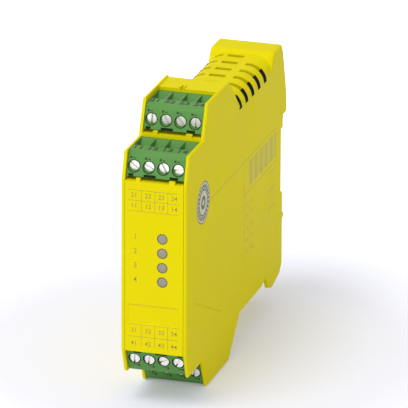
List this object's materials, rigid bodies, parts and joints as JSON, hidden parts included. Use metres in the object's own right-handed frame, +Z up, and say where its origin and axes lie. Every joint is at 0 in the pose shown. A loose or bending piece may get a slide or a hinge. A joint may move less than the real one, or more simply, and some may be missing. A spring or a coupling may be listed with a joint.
{
  "type": "safety relay",
  "caption": "Slim yellow DIN-rail safety relay with stepped front, green pluggable screw terminal blocks above and below, lamp windows, vented top and sprung rail latch.",
  "frame": {"origin": "middle of the DIN rail's front plane, in the middle of the case width", "axes": "+Z up along the case height, -Y out of the front panel towards the operator, X across the narrow width"},
  "size_m": [0.0226, 0.1145, 0.099],
  "materials": {
    "case_plastic": "satin",
    "terminal_plastic": "satin",
    "zinc_steel": "zinc plated",
    "spring_steel": "bright wire",
    "tinned_brass": "tinned",
    "board": "solder mask",
    "dark_plastic": "moulded",
    "can_aluminium": "sleeved can",
    "lens": "clear tinted"
  },
  "bodies": {
    "case": {"housing_body": "case_plastic", "side_cover": "case_plastic", "front_panel": "case_plastic", "latch_spring": "spring_steel", "circuit_board": "board", "relay_upper": "dark_plastic", "relay_lower": "dark_plastic", "power_capacitors": "can_aluminium", "power_choke": "dark_plastic", "control_chips": "dark_plastic", "input_fuse": "dark_plastic", "status_lamps": "lens", "header_pins": "tinned_brass", "header_upper_front": "terminal_plastic", "header_upper_rear": "terminal_plastic", "header_lower_front": "terminal_plastic", "header_lower_rear": "terminal_plastic"},
    "latch": {"rail_latch": "case_plastic"},
    "terminal_upper_front": {"plug_upper_front": "terminal_plastic", "contacts_upper_front": "tinned_brass"},
    "screw_upper_front_1": {"screw_upper_front_1": "zinc_steel"},
    "clamp_upper_front_1": {"clamp_upper_front_1": "zinc_steel"},
    "screw_upper_front_2": {"screw_upper_front_2": "zinc_steel"},
    "clamp_upper_front_2": {"clamp_upper_front_2": "zinc_steel"},
    "screw_upper_front_3": {"screw_upper_front_3": "zinc_steel"},
    "clamp_upper_front_3": {"clamp_upper_front_3": "zinc_steel"},
    "screw_upper_front_4": {"screw_upper_front_4": "zinc_steel"},
    "clamp_upper_front_4": {"clamp_upper_front_4": "zinc_steel"},
    "terminal_upper_rear": {"plug_upper_rear": "terminal_plastic", "contacts_upper_rear": "tinned_brass"},
    "screw_upper_rear_1": {"screw_upper_rear_1": "zinc_steel"},
    "clamp_upper_rear_1": {"clamp_upper_rear_1": "zinc_steel"},
    "screw_upper_rear_2": {"screw_upper_rear_2": "zinc_steel"},
    "clamp_upper_rear_2": {"clamp_upper_rear_2": "zinc_steel"},
    "screw_upper_rear_3": {"screw_upper_rear_3": "zinc_steel"},
    "clamp_upper_rear_3": {"clamp_upper_rear_3": "zinc_steel"},
    "screw_upper_rear_4": {"screw_upper_rear_4": "zinc_steel"},
    "clamp_upper_rear_4": {"clamp_upper_rear_4": "zinc_steel"},
    "terminal_lower_front": {"plug_lower_front": "terminal_plastic", "contacts_lower_front": "tinned_brass"},
    "screw_lower_front_1": {"screw_lower_front_1": "zinc_steel"},
    "clamp_lower_front_1": {"clamp_lower_front_1": "zinc_steel"},
    "screw_lower_front_2": {"screw_lower_front_2": "zinc_steel"},
    "clamp_lower_front_2": {"clamp_lower_front_2": "zinc_steel"},
    "screw_lower_front_3": {"screw_lower_front_3": "zinc_steel"},
    "clamp_lower_front_3": {"clamp_lower_front_3": "zinc_steel"},
    "screw_lower_front_4": {"screw_lower_front_4": "zinc_steel"},
    "clamp_lower_front_4": {"clamp_lower_front_4": "zinc_steel"},
    "terminal_lower_rear": {"plug_lower_rear": "terminal_plastic", "contacts_lower_rear": "tinned_brass"},
    "screw_lower_rear_1": {"screw_lower_rear_1": "zinc_steel"},
    "clamp_lower_rear_1": {"clamp_lower_rear_1": "zinc_steel"},
    "screw_lower_rear_2": {"screw_lower_rear_2": "zinc_steel"},
    "clamp_lower_rear_2": {"clamp_lower_rear_2": "zinc_steel"},
    "screw_lower_rear_3": {"screw_lower_rear_3": "zinc_steel"},
    "clamp_lower_rear_3": {"clamp_lower_rear_3": "zinc_steel"},
    "screw_lower_rear_4": {"screw_lower_rear_4": "zinc_steel"},
    "clamp_lower_rear_4": {"clamp_lower_rear_4": "zinc_steel"}
  },
  "joints": [
    {"name": "latch_slide", "type": "slide", "parent": "case", "child": "latch", "axis": [0, 0, -1], "range_m": [0, 0.003], "stiffness_N_per_m": 1500, "springref_m": -0.004, "deforming": ["latch_spring"]},
    {"name": "pull_out_upper_front", "type": "slide", "parent": "case", "child": "terminal_upper_front", "axis": [0, -1, 0], "range_m": [0, 0.022]},
    {"name": "turn_screw_upper_front_1", "type": "hinge", "parent": "terminal_upper_front", "child": "screw_upper_front_1", "pos_m": [-0.0075, -0.10393, 0.0337], "axis": [0, 1, 0], "range_deg": [0, 1800]},
    {"name": "draw_clamp_upper_front_1", "type": "slide", "parent": "terminal_upper_front", "child": "clamp_upper_front_1", "axis": [0, -1, 0], "range_m": [0, 0.0025]},
    {"name": "turn_screw_upper_front_2", "type": "hinge", "parent": "terminal_upper_front", "child": "screw_upper_front_2", "pos_m": [-0.0025, -0.10393, 0.0337], "axis": [0, 1, 0], "range_deg": [0, 1800]},
    {"name": "draw_clamp_upper_front_2", "type": "slide", "parent": "terminal_upper_front", "child": "clamp_upper_front_2", "axis": [0, -1, 0], "range_m": [0, 0.0025]},
    {"name": "turn_screw_upper_front_3", "type": "hinge", "parent": "terminal_upper_front", "child": "screw_upper_front_3", "pos_m": [0.0025, -0.10393, 0.0337], "axis": [0, 1, 0], "range_deg": [0, 1800]},
    {"name": "draw_clamp_upper_front_3", "type": "slide", "parent": "terminal_upper_front", "child": "clamp_upper_front_3", "axis": [0, -1, 0], "range_m": [0, 0.0025]},
    {"name": "turn_screw_upper_front_4", "type": "hinge", "parent": "terminal_upper_front", "child": "screw_upper_front_4", "pos_m": [0.0075, -0.10393, 0.0337], "axis": [0, 1, 0], "range_deg": [0, 1800]},
    {"name": "draw_clamp_upper_front_4", "type": "slide", "parent": "terminal_upper_front", "child": "clamp_upper_front_4", "axis": [0, -1, 0], "range_m": [0, 0.0025]},
    {"name": "pull_out_upper_rear", "type": "slide", "parent": "case", "child": "terminal_upper_rear", "axis": [0, -1, 0], "range_m": [0, 0.022]},
    {"name": "turn_screw_upper_rear_1", "type": "hinge", "parent": "terminal_upper_rear", "child": "screw_upper_rear_1", "pos_m": [-0.0075, -0.08553, 0.0438], "axis": [0, 1, 0], "range_deg": [0, 1800]},
    {"name": "draw_clamp_upper_rear_1", "type": "slide", "parent": "terminal_upper_rear", "child": "clamp_upper_rear_1", "axis": [0, -1, 0], "range_m": [0, 0.0025]},
    {"name": "turn_screw_upper_rear_2", "type": "hinge", "parent": "terminal_upper_rear", "child": "screw_upper_rear_2", "pos_m": [-0.0025, -0.08553, 0.0438], "axis": [0, 1, 0], "range_deg": [0, 1800]},
    {"name": "draw_clamp_upper_rear_2", "type": "slide", "parent": "terminal_upper_rear", "child": "clamp_upper_rear_2", "axis": [0, -1, 0], "range_m": [0, 0.0025]},
    {"name": "turn_screw_upper_rear_3", "type": "hinge", "parent": "terminal_upper_rear", "child": "screw_upper_rear_3", "pos_m": [0.0025, -0.08553, 0.0438], "axis": [0, 1, 0], "range_deg": [0, 1800]},
    {"name": "draw_clamp_upper_rear_3", "type": "slide", "parent": "terminal_upper_rear", "child": "clamp_upper_rear_3", "axis": [0, -1, 0], "range_m": [0, 0.0025]},
    {"name": "turn_screw_upper_rear_4", "type": "hinge", "parent": "terminal_upper_rear", "child": "screw_upper_rear_4", "pos_m": [0.0075, -0.08553, 0.0438], "axis": [0, 1, 0], "range_deg": [0, 1800]},
    {"name": "draw_clamp_upper_rear_4", "type": "slide", "parent": "terminal_upper_rear", "child": "clamp_upper_rear_4", "axis": [0, -1, 0], "range_m": [0, 0.0025]},
    {"name": "pull_out_lower_front", "type": "slide", "parent": "case", "child": "terminal_lower_front", "axis": [0, -1, 0], "range_m": [0, 0.022]},
    {"name": "turn_screw_lower_front_1", "type": "hinge", "parent": "terminal_lower_front", "child": "screw_lower_front_1", "pos_m": [0.0075, -0.10393, -0.0333], "axis": [0, 1, 0], "range_deg": [0, 1800]},
    {"name": "draw_clamp_lower_front_1", "type": "slide", "parent": "terminal_lower_front", "child": "clamp_lower_front_1", "axis": [0, -1, 0], "range_m": [0, 0.0025]},
    {"name": "turn_screw_lower_front_2", "type": "hinge", "parent": "terminal_lower_front", "child": "screw_lower_front_2", "pos_m": [0.0025, -0.10393, -0.0333], "axis": [0, 1, 0], "range_deg": [0, 1800]},
    {"name": "draw_clamp_lower_front_2", "type": "slide", "parent": "terminal_lower_front", "child": "clamp_lower_front_2", "axis": [0, -1, 0], "range_m": [0, 0.0025]},
    {"name": "turn_screw_lower_front_3", "type": "hinge", "parent": "terminal_lower_front", "child": "screw_lower_front_3", "pos_m": [-0.0025, -0.10393, -0.0333], "axis": [0, 1, 0], "range_deg": [0, 1800]},
    {"name": "draw_clamp_lower_front_3", "type": "slide", "parent": "terminal_lower_front", "child": "clamp_lower_front_3", "axis": [0, -1, 0], "range_m": [0, 0.0025]},
    {"name": "turn_screw_lower_front_4", "type": "hinge", "parent": "terminal_lower_front", "child": "screw_lower_front_4", "pos_m": [-0.0075, -0.10393, -0.0333], "axis": [0, 1, 0], "range_deg": [0, 1800]},
    {"name": "draw_clamp_lower_front_4", "type": "slide", "parent": "terminal_lower_front", "child": "clamp_lower_front_4", "axis": [0, -1, 0], "range_m": [0, 0.0025]},
    {"name": "pull_out_lower_rear", "type": "slide", "parent": "case", "child": "terminal_lower_rear", "axis": [0, -1, 0], "range_m": [0, 0.022]},
    {"name": "turn_screw_lower_rear_1", "type": "hinge", "parent": "terminal_lower_rear", "child": "screw_lower_rear_1", "pos_m": [0.0075, -0.08553, -0.0434], "axis": [0, 1, 0], "range_deg": [0, 1800]},
    {"name": "draw_clamp_lower_rear_1", "type": "slide", "parent": "terminal_lower_rear", "child": "clamp_lower_rear_1", "axis": [0, -1, 0], "range_m": [0, 0.0025]},
    {"name": "turn_screw_lower_rear_2", "type": "hinge", "parent": "terminal_lower_rear", "child": "screw_lower_rear_2", "pos_m": [0.0025, -0.08553, -0.0434], "axis": [0, 1, 0], "range_deg": [0, 1800]},
    {"name": "draw_clamp_lower_rear_2", "type": "slide", "parent": "terminal_lower_rear", "child": "clamp_lower_rear_2", "axis": [0, -1, 0], "range_m": [0, 0.0025]},
    {"name": "turn_screw_lower_rear_3", "type": "hinge", "parent": "terminal_lower_rear", "child": "screw_lower_rear_3", "pos_m": [-0.0025, -0.08553, -0.0434], "axis": [0, 1, 0], "range_deg": [0, 1800]},
    {"name": "draw_clamp_lower_rear_3", "type": "slide", "parent": "terminal_lower_rear", "child": "clamp_lower_rear_3", "axis": [0, -1, 0], "range_m": [0, 0.0025]},
    {"name": "turn_screw_lower_rear_4", "type": "hinge", "parent": "terminal_lower_rear", "child": "screw_lower_rear_4", "pos_m": [-0.0075, -0.08553, -0.0434], "axis": [0, 1, 0], "range_deg": [0, 1800]},
    {"name": "draw_clamp_lower_rear_4", "type": "slide", "parent": "terminal_lower_rear", "child": "clamp_lower_rear_4", "axis": [0, -1, 0], "range_m": [0, 0.0025]}
  ],
  "couplings": [
    {"joint": "turn_screw_upper_front_1", "follows": "draw_clamp_upper_front_1", "rad_per_m": 12566},
    {"joint": "turn_screw_upper_front_2", "follows": "draw_clamp_upper_front_2", "rad_per_m": 12566},
    {"joint": "turn_screw_upper_front_3", "follows": "draw_clamp_upper_front_3", "rad_per_m": 12566},
    {"joint": "turn_screw_upper_front_4", "follows": "draw_clamp_upper_front_4", "rad_per_m": 12566},
    {"joint": "turn_screw_upper_rear_1", "follows": "draw_clamp_upper_rear_1", "rad_per_m": 12566},
    {"joint": "turn_screw_upper_rear_2", "follows": "draw_clamp_upper_rear_2", "rad_per_m": 12566},
    {"joint": "turn_screw_upper_rear_3", "follows": "draw_clamp_upper_rear_3", "rad_per_m": 12566},
    {"joint": "turn_screw_upper_rear_4", "follows": "draw_clamp_upper_rear_4", "rad_per_m": 12566},
    {"joint": "turn_screw_lower_front_1", "follows": "draw_clamp_lower_front_1", "rad_per_m": 12566},
    {"joint": "turn_screw_lower_front_2", "follows": "draw_clamp_lower_front_2", "rad_per_m": 12566},
    {"joint": "turn_screw_lower_front_3", "follows": "draw_clamp_lower_front_3", "rad_per_m": 12566},
    {"joint": "turn_screw_lower_front_4", "follows": "draw_clamp_lower_front_4", "rad_per_m": 12566},
    {"joint": "turn_screw_lower_rear_1", "follows": "draw_clamp_lower_rear_1", "rad_per_m": 12566},
    {"joint": "turn_screw_lower_rear_2", "follows": "draw_clamp_lower_rear_2", "rad_per_m": 12566},
    {"joint": "turn_screw_lower_rear_3", "follows": "draw_clamp_lower_rear_3", "rad_per_m": 12566},
    {"joint": "turn_screw_lower_rear_4", "follows": "draw_clamp_lower_rear_4", "rad_per_m": 12566}
  ]
}
